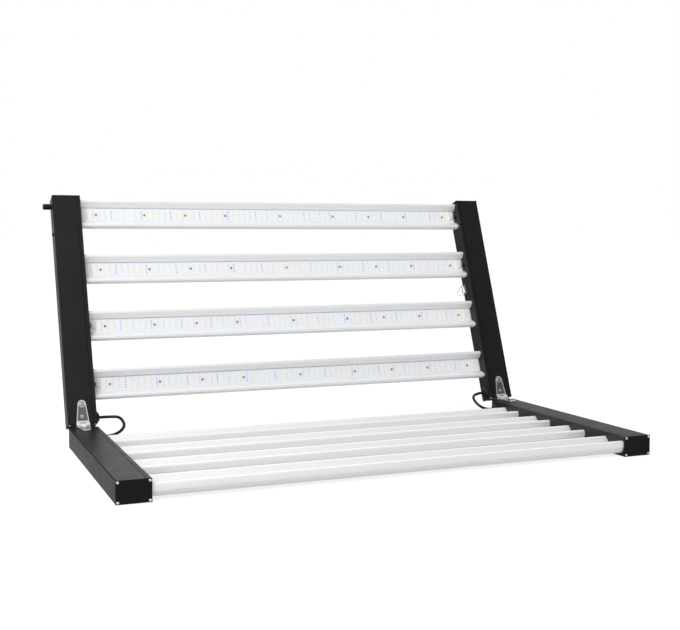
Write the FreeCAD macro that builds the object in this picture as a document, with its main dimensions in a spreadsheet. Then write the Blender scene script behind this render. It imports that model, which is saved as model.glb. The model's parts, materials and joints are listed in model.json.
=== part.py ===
import FreeCAD, Part
import math
import os

import Sketcher
from FreeCAD import Placement, Rotation, Vector

# A foldable LED grow light: two wings joined by two hinges. Each wing has a rail at each side and
# four LED bars between the rails. The lower wing lies on its back with its LEDs up, and the upper
# wing stands behind it and leans back.
#
# Both wings are modelled in one wing frame: its origin is on the hinge axis at mid width, +X runs
# along the axis, +Y runs along the rails away from the hinge and +Z is the way the LEDs shine.
# "Depth" is the distance behind the rails' LED face, and "reach" is the distance from a rail's
# hinge end.

NODE_FOLDER = "parts"
LEFT, RIGHT = -1, 1

SIZES = {
    # overall
    "light_width": 1057.0,
    "open_angle": 110.87,
    "axis_height": 4.0,
    "axis_gap": 2.5,
    # rails
    "rail_length": 511.5,
    "rail_width": 60.0,
    "rail_depth": 40.0,
    "rail_wall": 2.0,
    "rail_edge_radius": 0.8,
    "cover_thickness": 1.8,
    "lip_width": 8.0,
    "seam_width": 1.2,
    "tongue_reach": 2.2,
    "tongue_thickness": 1.4,
    "tongue_clearance": 0.3,
    "boss_side": 6.0,
    "rib_gap": 0.5,
    "rib_depth": 8.0,
    "cut_margin": 0.5,
    "cap_thickness": 2.5,
    "cap_screw_inset": 3.4,
    # bars
    "first_bar": 87.5,
    "bar_pitch": 129.0,
    "bar_half_width": 32.5,
    "bar_back": 34.0,
    "bar_back_half": 22.4,
    "bar_skin": 1.6,
    "bar_web": 2.0,
    "ridge_centre": 27.6,
    "ridge_depth": 14.0,
    "ridge_radius": 5.0,
    "bar_side_radius": 60.0,
    "back_corner_radius": 12.5,
    "side_groove": 1.6,
    "side_groove_depth": 22.8,
    "side_groove_height": 1.5,
    "seat_depth": 24.6,
    "seat_half_width": 16.2,
    "port_centre": 12.5,
    "port_depth": 29.6,
    "port_margin": 3.0,
    # boards
    "board_length": 930.0,
    "board_width": 31.5,
    "board_thickness": 1.6,
    "led_column_pitch": 13.53,
    # hinges
    "knuckle_radius": 4.0,
    "knuckle_width": 7.6,
    "knuckle_shoulder": 2.8,
    "knuckle_ramp": 1.2,
    "hinge_width": 27.0,
    "middle_knuckle": 11.0,
    "leaf_thickness": 3.0,
    "leaf_floor": 1.6,
    "leaf_start": 5.6,
    "leaf_base_half": 13.0,
    "leaf_tip_radius": 8.5,
    "leaf_tip_centre": 45.0,
    "leaf_rim": 2.0,
    "hinge_screw_near": 18.5,
    "hinge_screw_far": 44.5,
    "pin_radius": 2.0,
    "pin_proud": 0.3,
    # fasteners
    "running_clearance": 0.05,
    "cap_screw_radius": 1.25,
    "cap_screw_head": 2.5,
    "cap_screw_height": 1.6,
    "cap_screw_length": 9.0,
    "board_screw_radius": 1.4,
    "board_screw_head": 2.8,
    "board_screw_height": 1.3,
    "board_screw_length": 6.5,
    "bar_screw_radius": 1.5,
    "bar_screw_head": 3.0,
    "bar_screw_height": 2.0,
    "bar_screw_length": 14.0,
    "hinge_screw_radius": 2.0,
    "hinge_screw_head": 3.9,
    "hinge_screw_height": 1.8,
    "hinge_screw_length": 8.0,
    # cable glands and jumper cables
    "gland_reach": 16.5,
    "gland_depth": 19.0,
    "gland_radius": 14.0,
    "gland_neck": 8.0,
    "gland_nose": 8.0,
    "gland_skirt": 1.6,
    "gland_nut": 10.8,
    "gland_nut_height": 2.6,
    "gland_proud": 7.0,
    "cable_radius": 3.1,
    # wire grommets and terminals
    "grommet_radius": 5.0,
    "grommet_neck": 4.0,
    "grommet_hole": 2.2,
    "grommet_proud": 1.4,
    "grommet_depth": 17.5,
    "terminal_length": 8.0,
    "terminal_width": 11.0,
    "terminal_height": 4.2,
    "terminal_inset": 9.5,
    # drivers
    "driver_start": 60.0,
    "driver_length": 345.0,
    "driver_width": 43.0,
    "driver_depth": 27.0,
    "driver_inset": 8.6,
    # hangers
    "hanger_reach": 284.7,
    "hanger_depth": 36.4,
    "hanger_length": 26.0,
    "hanger_curl_length": 16.0,
    "hanger_thickness": 1.2,
    "hanger_top": 26.5,
    "curl_radius": 2.8,
    "curl_gap": 0.1,
    "rivet_spacing": 16.8,
    "rivet_depth": 31.0,
    "rivet_radius": 2.2,
    "rivet_height": 1.4,
    "rivet_tail": 0.8,
    "ring_wire_radius": 1.5,
    "ring_base": 30.0,
    "ring_height": 39.5,
    "ring_corner": 4.0,
    "lower_ring_swing": 88.0,
    # dimmer
    "knob_from_end": 20.0,
    "knob_depth": 20.0,
    "knob_radius": 6.4,
    "knob_length": 17.0,
    "knob_stand_off": 1.5,
    "knob_bore": 10.0,
    "knob_crown": 2.2,
    "flute_radius": 0.55,
    "flute_margin": 2.5,
    "pointer_width": 0.8,
    "pointer_depth": 0.5,
    "shaft_radius": 3.0,
    "shaft_sunk": 7.0,
    "bush_radius": 4.5,
    "bush_proud": 1.0,
    "dimmer_case_radius": 8.0,
    "dimmer_case_depth": 9.0,
    # link port and mains inlet
    "port_from_end": 85.0,
    "port_radius": 3.0,
    "port_neck": 2.5,
    "port_nut": 4.5,
    "port_proud": 3.0,
    "port_body": 8.0,
    "inlet_from_end": 85.0,
    "inlet_width": 27.0,
    "inlet_height": 20.0,
    "inlet_depth": 20.0,
    "inlet_wall": 1.6,
    "inlet_floor": 2.0,
    "inlet_lip": 1.8,
    "inlet_flange": 2.0,
    "inlet_fit": 0.1,
    "blade_width": 2.0,
    "blade_height": 4.0,
    "blade_length": 12.0,
    "blade_spacing": 7.0,
    "blade_stagger": 2.25,
}

doc = FreeCAD.newDocument("grow_light")
sheet = doc.addObject("Spreadsheet::Sheet", "sizes")
for row, (alias, number) in enumerate(SIZES.items(), start=1):
    sheet.set(f"A{row}", alias.replace("_", " "))
    sheet.set(f"B{row}", str(number))
    sheet.setAlias(f"B{row}", alias)
doc.recompute()


class Size:
    """A length that knows both its number and the spreadsheet expression that gives it."""

    def __init__(self, value, text):
        self.value = float(value)
        self.text = text

    def join(self, other, sign, value):
        second = other.text if isinstance(other, Size) else repr(float(other))
        return Size(value, f"({self.text} {sign} {second})")

    def __add__(self, other):
        return self.join(other, "+", self.value + plain(other))

    def __sub__(self, other):
        return self.join(other, "-", self.value - plain(other))

    def __mul__(self, other):
        return self.join(other, "*", self.value * plain(other))

    def __truediv__(self, other):
        return self.join(other, "/", self.value / plain(other))

    def __neg__(self):
        return self * -1


def plain(size):
    """The number in a Size, or the number itself."""
    return size.value if isinstance(size, Size) else float(size)


def cell(alias):
    """The Size of one cell of the sheet."""
    return Size(sheet.get(alias), f"sizes.{alias}")


def bind(thing, prop, size):
    """Set a property, and bind it to the sheet when the size comes from there."""
    setattr(thing, prop, plain(size))
    if isinstance(size, Size):
        thing.setExpression(prop, size.text)


light_width = cell("light_width")
half_width = light_width / 2
axis_height = cell("axis_height")
axis_gap = cell("axis_gap")
rail_length = cell("rail_length")
rail_width = cell("rail_width")
rail_depth = cell("rail_depth")
rail_wall = cell("rail_wall")
cap_thickness = cell("cap_thickness")
seat_depth = cell("seat_depth")
ledge = seat_depth - cell("board_thickness")
gland_proud = cell("gland_proud")
clearance = cell("running_clearance")
cut_depth = rail_wall + cell("cut_margin")
bar_span = light_width - rail_width * 2

BAR_NUMBERS = (1, 2, 3, 4)
# bars 1 and 2 are the pair next to the hinge, wired from one rail; 3 and 4 are wired from the other
BAR_WIRED_SIDE = {1: LEFT, 2: LEFT, 3: RIGHT, 4: RIGHT}
BOARD_SCREW_COLUMNS = (-32, -24, -17, -10, 0, 10, 17, 24, 32)

nodes = []


# ---------------------------------------------------------------- placing

def wing_placement(origin, tilt, turn):
    """A wing frame: turned about +Z first, then tilted up about +X, with its origin on the axis."""
    return Placement(origin, Rotation(Vector(1, 0, 0), tilt) * Rotation(Vector(0, 0, 1), turn))


lean = math.radians(plain(cell("open_angle")) - 90)
far_end = plain(axis_gap + rail_length)
floor_to_axis = plain(rail_depth + axis_height)
rear_edge = far_end * math.sin(lean) + floor_to_axis * math.cos(lean)
front_edge = far_end + plain(cell("cap_screw_height"))
knob_end = plain(cell("knob_length") + cell("knob_stand_off"))
axis_x = (knob_end - plain(cell("inlet_flange"))) / 2
axis_y = (front_edge - rear_edge) / 2
axis_point = Vector(axis_x, axis_y, floor_to_axis)

WINGS = {
    "upper": wing_placement(axis_point, 180 - plain(cell("open_angle")), 0),
    "lower": wing_placement(axis_point, 0, 180),
}
# The lower wing is the upper wing's design turned half way round, so its sides change places.
SIDE_NAMES = {
    ("upper", LEFT): "left",
    ("upper", RIGHT): "right",
    ("lower", LEFT): "right",
    ("lower", RIGHT): "left",
}

ALONG_RAIL = Rotation(Vector(1, 0, 0), -90)
ALONG_BAR = Rotation(Vector(0, 1, 0), Vector(0, 0, -1), Vector(-1, 0, 0), "XYZ")
UPRIGHT = Rotation()


def in_wing(wing, x, reach, depth, rotation=UPRIGHT):
    """A placement in the part's frame from a place in one wing."""
    place = Vector(plain(x), plain(axis_gap) + plain(reach), -plain(axis_height) - plain(depth))
    return WINGS[wing] * Placement(place, rotation)


def facing(side):
    """The rotation that points a piece's +Z at a rail's inner side, away from the rail."""
    return Rotation(Vector(0, 0, 1), Vector(-side, 0, 0))


def add_node(name, thing, placement=None):
    thing.Label = name
    if placement is not None:
        thing.Placement = placement
    nodes.append(thing)
    return thing


def add_shape(name, shape, placement=None):
    """A node whose shape comes from Part's own functions."""
    feature = doc.addObject("Part::Feature", name)
    feature.Shape = shape
    return add_node(name, feature, placement or Placement())


def gather(name, shapes):
    return add_shape(name, Part.makeCompound(shapes))


# ---------------------------------------------------------------- sketches and features

def new_body(name):
    return doc.addObject("PartDesign::Body", name)


def new_sketch(body, role="XY_Plane", offset=None):
    """A sketch on one of the body's own planes, moved along its normal."""
    sketch = body.newObject("Sketcher::SketchObject", "Sketch")
    plane = [item for item in body.Origin.OriginFeatures if item.Role == role][0]
    sketch.AttachmentSupport = [(plane, "")]
    sketch.MapMode = "FlatFace"
    if isinstance(offset, Size):
        sketch.AttachmentOffset = Placement(Vector(0, 0, plain(offset)), Rotation())
        sketch.setExpression("AttachmentOffset.Base.z", offset.text)
    return sketch


def constrain(sketch, kind, numbers, size):
    """Add a dimension and bind it to the sheet."""
    index = sketch.addConstraint(Sketcher.Constraint(kind, *numbers, plain(size)))
    name = f"size{index}"
    sketch.renameConstraint(index, name)
    if isinstance(size, Size):
        sketch.setExpression(f"Constraints.{name}", size.text)


def arc_through(start, end, radius, bulge):
    """The arc of a radius from start to end; bulge is +1 to bend to the left of the way, -1 right."""
    chord = end - start
    middle = (start + end) / 2
    sideways = Vector(-chord.y, chord.x, 0).normalize()
    half = chord.Length / 2
    sagitta = radius - math.sqrt(max(radius * radius - half * half, 0.0))
    return Part.Arc(start, middle + sideways * sagitta * bulge, end)


def outline(sketch, corners):
    """A closed outline. A corner is (x, y), or (x, y, radius, bulge) when an arc leads on from it."""
    first = sketch.GeometryCount
    points = [Vector(plain(corner[0]), plain(corner[1]), 0) for corner in corners]
    count = len(corners)
    for number, corner in enumerate(corners):
        start, end = points[number], points[(number + 1) % count]
        if len(corner) == 4:
            sketch.addGeometry(arc_through(start, end, plain(corner[2]), corner[3]), False)
        else:
            sketch.addGeometry(Part.LineSegment(start, end), False)
    joints = []
    for number, corner in enumerate(corners):
        start_point = 1
        if len(corner) == 4:
            start_point = arc_start(sketch, first + number, points[number])
        joints.append(start_point)
    for number, corner in enumerate(corners):
        following = (number + 1) % count
        here = 3 - joints[number] if len(corner) == 4 else 2
        ends = (first + number, here, first + following, joints[following])
        sketch.addConstraint(Sketcher.Constraint("Coincident", *ends))
        constrain(sketch, "DistanceX", (-1, 1, first + number, joints[number]), corner[0])
        constrain(sketch, "DistanceY", (-1, 1, first + number, joints[number]), corner[1])
        if len(corner) == 4:
            constrain(sketch, "Radius", (first + number,), corner[2])


def arc_start(sketch, index, point):
    """Which end of a stored arc lies on the point: 1 or 2."""
    return 1 if (sketch.getPoint(index, 1) - point).Length < 1e-6 else 2


def circle(sketch, x, y, radius):
    centre = Vector(plain(x), plain(y), 0)
    index = sketch.addGeometry(Part.Circle(centre, Vector(0, 0, 1), plain(radius)), False)
    constrain(sketch, "DistanceX", (-1, 1, index, 3), x)
    constrain(sketch, "DistanceY", (-1, 1, index, 3), y)
    constrain(sketch, "Radius", (index,), radius)


def pad(body, sketch, length, both_ways=False):
    feature = body.newObject("PartDesign::Pad", "Pad")
    feature.Profile = sketch
    feature.Midplane = both_ways
    bind(feature, "Length", length)
    return feature


def pocket(body, sketch, length):
    """Cut the same length to each side of the sketch, so that its direction can't be wrong."""
    before = solid_volume(body)
    feature = body.newObject("PartDesign::Pocket", "Pocket")
    feature.Profile = sketch
    feature.Midplane = True
    bind(feature, "Length", length * 2)
    doc.recompute()
    if solid_volume(body) >= before:
        raise ValueError(f"a pocket in {body.Name} cuts nothing")
    return feature


def solid_volume(body):
    doc.recompute()
    return body.Shape.Volume


# ---------------------------------------------------------------- fasteners

# shares of a screw head's height, and of its radius
CROWN_SHARE = 0.6
RECESS_DEPTH = 0.7
RECESS_LENGTH = 1.15
RECESS_WIDTH = 0.28


def screw(kind):
    """A pan-head screw with a cross recess, its head's seat at z = 0 and its shank down -Z."""
    head_radius = plain(cell(f"{kind}_screw_head"))
    head_height = plain(cell(f"{kind}_screw_height"))
    shank_length = plain(cell(f"{kind}_screw_length"))
    head = Part.makeCylinder(head_radius, head_height)
    crown = [edge for edge in head.Edges if edge.BoundBox.ZMin > head_height / 2]
    head = head.makeFillet(head_height * CROWN_SHARE, crown)
    shank = Part.makeCylinder(plain(cell(f"{kind}_screw_radius")), shank_length, Vector(0, 0, -shank_length))
    shape = head.fuse(shank)
    length, width, depth = head_radius * RECESS_LENGTH, head_radius * RECESS_WIDTH, head_height * RECESS_DEPTH
    for angle in (45, 135):
        slot = Part.makeBox(length, width, depth)
        slot.translate(Vector(-length / 2, -width / 2, head_height - depth))
        slot.rotate(Vector(), Vector(0, 0, 1), angle)
        shape = shape.cut(slot)
    return shape.removeSplitter()


def placed(shape, placement):
    """A copy of a shape at a placement in the part's frame."""
    copy = shape.copy()
    copy.Placement = placement
    return copy


# ---------------------------------------------------------------- rails

def rail_x(side, inwards):
    """Wing X of a point a given distance inwards from a rail's outer face."""
    return (half_width - inwards) * side


def rail_frame(wing, side):
    """Body X runs inwards from the rail's outer face on the left, and mirrored on the right."""
    return in_wing(wing, rail_x(side, 0), cap_thickness, 0, ALONG_RAIL)


def rail_outline(side):
    wall = rail_wall
    boss = cell("boss_side")
    cover = cell("cover_thickness")
    corners = [
        (rail_width - cell("lip_width"), 0),
        (rail_width, 0),
        (rail_width, rail_depth),
        (0, rail_depth),
        (0, cover),
        (boss, cover),
        (boss, boss),
        (wall, boss),
        (wall, rail_depth - boss),
        (boss, rail_depth - boss),
        (boss, rail_depth - wall),
        (rail_width - boss, rail_depth - wall),
        (rail_width - boss, rail_depth - boss),
        (rail_width - wall, rail_depth - boss),
        (rail_width - wall, boss),
        (rail_width - boss, boss),
        (rail_width - boss, wall),
        (rail_width - cell("lip_width"), wall),
    ]
    return [(x * -side, y) for x, y in corners]


def cap_screw_places():
    inset = cell("cap_screw_inset")
    return [(x, y) for x in (inset, rail_width - inset) for y in (inset, rail_depth - inset)]


def bar_reach(number):
    return cell("first_bar") + cell("bar_pitch") * (number - 1)


def rail_channel(wing, side):
    """An open box extrusion with a screw boss in each corner and holes for what passes through."""
    body = new_body(f"{wing}_rail")
    profile = new_sketch(body)
    outline(profile, rail_outline(side))
    for x, y in cap_screw_places():
        circle(profile, x * -side, y, cell("cap_screw_radius") + clearance)
    block = pad(body, profile, rail_length - cap_thickness * 2)
    round_outer_edges(body, block, side)

    inner = new_sketch(body, "YZ_Plane", rail_width * -side)
    start = cap_thickness
    circle(inner, cell("gland_depth"), cell("gland_reach") - start, cell("gland_neck") + clearance)
    for number in BAR_NUMBERS:
        reach = bar_reach(number) - start
        if BAR_WIRED_SIDE[number] == side:
            circle(inner, cell("grommet_depth"), reach, cell("grommet_neck") + clearance)
        for way in (-1, 1):
            place = reach + cell("port_centre") * way
            circle(inner, cell("port_depth"), place, cell("bar_screw_radius") + clearance)
    for way in (-1, 1):
        place = cell("hanger_reach") - start + cell("rivet_spacing") / 2 * way
        circle(inner, cell("rivet_depth"), place, cell("bar_screw_radius") + clearance)
    pocket(body, inner, cut_depth)
    cut_control_holes(body, wing, side)
    return add_node(f"{wing}_{SIDE_NAMES[wing, side]}_rail", body, rail_frame(wing, side))


def round_outer_edges(body, block, side):
    """Round the long edges of the channel's back and of its lip."""
    doc.recompute()
    across, depth = plain(rail_width) * -side, plain(rail_depth)
    corners = [Vector(across, 0, 0), Vector(across, depth, 0), Vector(0, depth, 0)]
    edges = []
    for number, edge in enumerate(block.Shape.Edges, start=1):
        first, last = edge.Vertexes[0].Point, edge.Vertexes[-1].Point
        foot = Vector(first.x, first.y, 0)
        along = abs(last.z - first.z) > depth
        if along and any((foot - corner).Length < plain(clearance) for corner in corners):
            edges.append(f"Edge{number}")
    fillet = body.newObject("PartDesign::Fillet", "Fillet")
    fillet.Base = (block, edges)
    bind(fillet, "Radius", cell("rail_edge_radius"))
    body.Tip = fillet
    doc.recompute()


def cut_control_holes(body, wing, side):
    """Openings in the outer wall: the controls on the upper left, the inlet on the upper right."""
    if wing != "upper":
        return
    outer = new_sketch(body, "YZ_Plane")
    far = rail_length - cap_thickness
    if side == LEFT:
        circle(outer, cell("knob_depth"), far - cell("knob_from_end"), cell("bush_radius") + clearance)
        circle(outer, cell("knob_depth"), far - cell("port_from_end"), cell("port_neck") + clearance)
    else:
        middle = far - cell("inlet_from_end")
        half_long = cell("inlet_width") / 2
        half_high = cell("inlet_height") / 2
        depth = rail_depth / 2
        outline(outer, [
            (depth - half_high, middle - half_long),
            (depth + half_high, middle - half_long),
            (depth + half_high, middle + half_long),
            (depth - half_high, middle + half_long),
        ])
    pocket(body, outer, cut_depth)


def rail_cover(wing, side):
    """The plate that closes the channel, with a tongue under the lip and a rib behind the boss."""
    thick = cell("cover_thickness")
    edge = rail_width - cell("lip_width") - cell("seam_width")
    tongue_top = rail_wall + cell("tongue_clearance")
    tongue_floor = tongue_top + cell("tongue_thickness")
    rib = cell("boss_side") + cell("rib_gap")
    body = new_body(f"{wing}_cover")
    profile = new_sketch(body)
    corners = [
        (rail_wall, 0),
        (edge, 0),
        (edge, tongue_top),
        (edge + cell("tongue_reach"), tongue_top),
        (edge + cell("tongue_reach"), tongue_floor),
        (edge - rail_wall, tongue_floor),
        (edge - rail_wall, thick),
        (rib + rail_wall, thick),
        (rib + rail_wall, cell("rib_depth")),
        (rib, cell("rib_depth")),
        (rib, thick),
        (rail_wall, thick),
    ]
    outline(profile, [(x * -side, y) for x, y in corners])
    pad(body, profile, rail_length - cap_thickness * 2)
    holes = new_sketch(body, "XZ_Plane")
    for place in (cell("hinge_screw_near"), cell("hinge_screw_far")):
        along = place - axis_gap - cap_thickness
        circle(holes, rail_width / 2 * -side, along, cell("hinge_screw_radius") + clearance)
    pocket(body, holes, thick + cell("tongue_clearance"))
    return add_node(f"{wing}_{SIDE_NAMES[wing, side]}_rail_cover", body, rail_frame(wing, side))


def end_cap(wing, side, reach):
    """A flat plate over one end of a rail, with a hole at each corner."""
    body = new_body(f"{wing}_cap")
    profile = new_sketch(body)
    square = [(0, 0), (rail_width, 0), (rail_width, rail_depth), (0, rail_depth)]
    outline(profile, [(x * -side, y) for x, y in square])
    for x, y in cap_screw_places():
        circle(profile, x * -side, y, cell("cap_screw_radius") + clearance)
    pad(body, profile, cap_thickness)
    body.Placement = in_wing(wing, rail_x(side, 0), reach, 0, ALONG_RAIL)
    return body


def end_caps(wing):
    caps = []
    for side in (LEFT, RIGHT):
        for reach in (0, rail_length - cap_thickness):
            caps.append(end_cap(wing, side, reach))
    group = doc.addObject("Part::Compound", f"{wing}_caps")
    group.Links = caps
    return add_node(f"{wing}_end_caps", group)


def cap_screws(wing):
    """Four screws through each end cap into the rail's bosses."""
    shape = screw("cap")
    shapes = []
    for side in (LEFT, RIGHT):
        for reach, way in ((0, -1), (rail_length, 1)):
            turn = Rotation(Vector(0, 0, 1), Vector(0, way, 0))
            for across, depth in cap_screw_places():
                shapes.append(placed(shape, in_wing(wing, rail_x(side, across), reach, depth, turn)))
    return gather(f"{wing}_cap_screws", shapes)


# ---------------------------------------------------------------- bars and boards

def bar_outline():
    """A bar's section across its length: x along the rail from the bar's middle, y is depth."""
    half = cell("bar_half_width")
    seat = cell("seat_half_width")
    ridge = cell("ridge_centre")
    crest = cell("ridge_depth")
    ridge_round = cell("ridge_radius")
    side_round = cell("bar_side_radius")
    back_round = cell("back_corner_radius")
    groove = half - cell("side_groove")
    groove_top = cell("side_groove_depth")
    groove_floor = groove_top + cell("side_groove_height")
    right = [
        (seat, seat_depth),
        (seat + 0.8, seat_depth - 6.2),
        (ridge - ridge_round * 0.86, crest - ridge_round * 0.5, ridge_round, -1),
        (ridge + ridge_round * 0.97, crest - ridge_round * 0.2, side_round, -1),
        (half - 0.1, groove_top - 0.3),
        (groove, groove_top),
        (groove, groove_floor),
        (half - 0.4, groove_floor + 0.3, back_round, -1),
        (cell("bar_back_half"), cell("bar_back")),
    ]
    left = [(-corner[0], corner[1]) for corner in reversed(right)]
    # an arc leads on from the other one of its two corners on the mirrored side
    for number, radius in ((0, back_round), (4, side_round), (5, ridge_round)):
        left[number] = (*left[number], radius, -1)
    return right + left


def bar_cavities():
    """The hollows of the section: one in each ridge, one on each side of the back and one between."""
    floor = seat_depth - 1.0
    lid = seat_depth + cell("bar_web")
    back = cell("bar_back") - cell("bar_skin")
    port_inner = cell("port_centre") - cell("port_margin")
    port_outer = cell("port_centre") + cell("port_margin")
    ridge = cell("ridge_centre")
    crest = cell("ridge_depth")
    half = cell("bar_half_width")
    hollows = [[(-port_inner, lid), (port_inner, lid), (port_inner, back), (-port_inner, back)]]
    for way in (-1, 1):
        ridge_hollow = [
            (cell("seat_half_width") + 1.8, floor),
            (ridge - 8.2, crest + 5.2),
            (ridge - 2.9, crest - 1.4),
            (ridge + 1.5, crest - 2.6),
            (ridge + 2.9, crest + 0.6),
            (half - 3.4, floor),
        ]
        back_hollow = [
            (port_outer, lid),
            (half - 3.8, lid),
            (half - 4.8, lid + 2.4),
            (half - 10.6, back),
            (port_outer, back),
        ]
        hollows.append([(x * way, y) for x, y in ridge_hollow])
        hollows.append([(x * way, y) for x, y in back_hollow])
    return hollows


def led_bar(wing, number):
    """A hollow aluminium extrusion with a channel for the board between two rounded ridges."""
    body = new_body(f"{wing}_bar")
    profile = new_sketch(body)
    outline(profile, bar_outline())
    for hollow in bar_cavities():
        outline(profile, hollow)
    for way in (-1, 1):
        circle(profile, cell("port_centre") * way, cell("port_depth"), cell("bar_screw_radius") + clearance)
    pad(body, profile, bar_span)
    holes = new_sketch(body, "XZ_Plane", -seat_depth)
    for column in BOARD_SCREW_COLUMNS:
        along = bar_span / 2 - cell("led_column_pitch") * column
        circle(holes, 0, along, cell("board_screw_radius") + clearance)
    pocket(body, holes, cut_depth)
    place = in_wing(wing, bar_span / 2, bar_reach(number), 0, ALONG_BAR)
    return add_node(f"{wing}_bar_{number}", body, place)


def led_board(wing, number):
    """The circuit board that lies on the bar's seat."""
    body = new_body(f"{wing}_board")
    profile = new_sketch(body)
    long_half = cell("board_length") / 2
    wide_half = cell("board_width") / 2
    outline(profile, [
        (-long_half, -wide_half),
        (long_half, -wide_half),
        (long_half, wide_half),
        (-long_half, wide_half),
    ])
    for column in BOARD_SCREW_COLUMNS:
        circle(profile, cell("led_column_pitch") * column, 0, cell("board_screw_radius") + clearance)
    pad(body, profile, cell("board_thickness"))
    return add_node(f"{wing}_led_board_{number}", body, in_wing(wing, 0, bar_reach(number), seat_depth))


def board_screws(wing):
    shape = screw("board")
    shapes = []
    for number in BAR_NUMBERS:
        for column in BOARD_SCREW_COLUMNS:
            x = cell("led_column_pitch") * column
            shapes.append(placed(shape, in_wing(wing, x, bar_reach(number), ledge)))
    return gather(f"{wing}_board_screws", shapes)


def bar_screws(wing):
    """Two screws from inside each rail into each end of each bar."""
    shape = screw("bar")
    shapes = []
    for side in (LEFT, RIGHT):
        inner_wall = rail_x(side, rail_width - rail_wall)
        turn = Rotation(Vector(0, 0, 1), Vector(side, 0, 0))
        for number in BAR_NUMBERS:
            for way in (-1, 1):
                reach = bar_reach(number) + cell("port_centre") * way
                shapes.append(placed(shape, in_wing(wing, inner_wall, reach, cell("port_depth"), turn)))
    return gather(f"{wing}_bar_screws", shapes)


def wire_terminals(wing):
    """A push-in terminal block on each board, at the end that its wires come from."""
    blocks = []
    for number in BAR_NUMBERS:
        side = BAR_WIRED_SIDE[number]
        block = doc.addObject("Part::Box", "terminal")
        bind(block, "Length", cell("terminal_length"))
        bind(block, "Width", cell("terminal_width"))
        bind(block, "Height", cell("terminal_height"))
        x = rail_x(side, rail_width + cell("terminal_inset")) - cell("terminal_length") / 2
        reach = bar_reach(number) - cell("terminal_width") / 2
        block.Placement = in_wing(wing, x, reach, ledge)
        blocks.append(block)
    group = doc.addObject("Part::Compound", f"{wing}_terminals")
    group.Links = blocks
    return add_node(f"{wing}_wire_terminals", group)


def turned(profile_points):
    """A solid of revolution about Z from (radius, height) points."""
    closed = profile_points + profile_points[:1]
    wire = Part.makePolygon([Vector(radius, 0, height) for radius, height in closed])
    return Part.Face(wire).revolve(Vector(), Vector(0, 0, 1), 360)


def wire_grommets(wing):
    """Rubber bushes in the rails' inner walls where the boards' wires pass."""
    outer = plain(cell("grommet_radius"))
    neck = plain(cell("grommet_neck"))
    hole = plain(cell("grommet_hole"))
    proud = plain(cell("grommet_proud"))
    wall = plain(rail_wall)
    shape = turned([
        (hole, proud), (outer - 0.7, proud), (outer, proud - 0.7), (outer, 0), (neck, 0),
        (neck, -wall), (outer, -wall), (outer, -wall - proud), (hole, -wall - proud),
    ])
    shapes = []
    for number in BAR_NUMBERS:
        side = BAR_WIRED_SIDE[number]
        x = rail_x(side, rail_width)
        place = in_wing(wing, x, bar_reach(number), cell("grommet_depth"), facing(side))
        shapes.append(placed(shape, place))
    return gather(f"{wing}_wire_grommets", shapes)


# ---------------------------------------------------------------- hinges

def leaf_outline(margin):
    """The leaf's tapered outline with a round tip, moved in from its edge by a margin."""
    base = cell("leaf_base_half") - margin
    tip = cell("leaf_tip_radius") - margin
    start = cell("leaf_start") + margin * 2
    centre = cell("leaf_tip_centre")
    return [(-base, start), (base, start), (tip, centre, tip, -1), (0, centre + tip, tip, -1), (-tip, centre)]


def knuckle(body, x, width):
    """One knuckle on the axis, and the ramp that joins it to the leaf."""
    radius = cell("knuckle_radius")
    shoulder = cell("knuckle_shoulder")
    foot = cell("leaf_start")
    low = -axis_height
    leaf_top = low + cell("leaf_floor")
    barrel = new_sketch(body, "YZ_Plane", x)
    circle(barrel, 0, 0, radius)
    pad(body, barrel, width, both_ways=True)
    ramp = new_sketch(body, "YZ_Plane", x)
    outline(ramp, [
        (0, low),
        (foot + cell("leaf_thickness"), low),
        (foot + cell("leaf_thickness"), leaf_top),
        (foot + cell("leaf_thickness") - cell("knuckle_ramp"), leaf_top),
        (shoulder, shoulder),
        (0, shoulder),
    ])
    pad(body, ramp, width, both_ways=True)


def hinge_leaf(wing, side):
    """A tapered leaf with a raised rim. The upper leaf has the outer knuckles, the lower the middle."""
    body = new_body(f"{wing}_leaf")
    plate = new_sketch(body, "XY_Plane", -axis_height)
    outline(plate, leaf_outline(0))
    pad(body, plate, cell("leaf_thickness"))
    tray = new_sketch(body, "XY_Plane", cell("leaf_thickness") - axis_height)
    outline(tray, leaf_outline(cell("leaf_rim")))
    pocket(body, tray, cell("leaf_thickness") - cell("leaf_floor"))
    if wing == "upper":
        offset = cell("hinge_width") / 2 - cell("knuckle_width") / 2
        knuckle(body, -offset, cell("knuckle_width"))
        knuckle(body, offset, cell("knuckle_width"))
    else:
        knuckle(body, 0, cell("middle_knuckle"))
    bore = new_sketch(body, "YZ_Plane")
    circle(bore, 0, 0, cell("pin_radius") + clearance)
    pocket(body, bore, cell("hinge_width"))
    holes = new_sketch(body, "XY_Plane", -axis_height)
    for place in (cell("hinge_screw_near"), cell("hinge_screw_far")):
        circle(holes, 0, place, cell("hinge_screw_radius") + clearance)
    pocket(body, holes, cell("leaf_thickness"))
    place = WINGS[wing] * Placement(Vector(plain(rail_x(side, rail_width / 2)), 0, 0), UPRIGHT)
    return add_node(f"{wing}_{SIDE_NAMES[wing, side]}_hinge_leaf", body, place)


def hinge_pins():
    """Both pins, on the one fold axis."""
    length = cell("hinge_width") + cell("pin_proud") * 2
    pins = []
    for side in (LEFT, RIGHT):
        pin = doc.addObject("Part::Cylinder", "pin")
        bind(pin, "Radius", cell("pin_radius"))
        bind(pin, "Height", length)
        start = plain(rail_x(side, rail_width / 2) - length / 2)
        along = Rotation(Vector(0, 0, 1), Vector(1, 0, 0))
        pin.Placement = WINGS["upper"] * Placement(Vector(start, 0, 0), along)
        pins.append(pin)
    group = doc.addObject("Part::Compound", "pins")
    group.Links = pins
    return add_node("hinge_pins", group)


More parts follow.
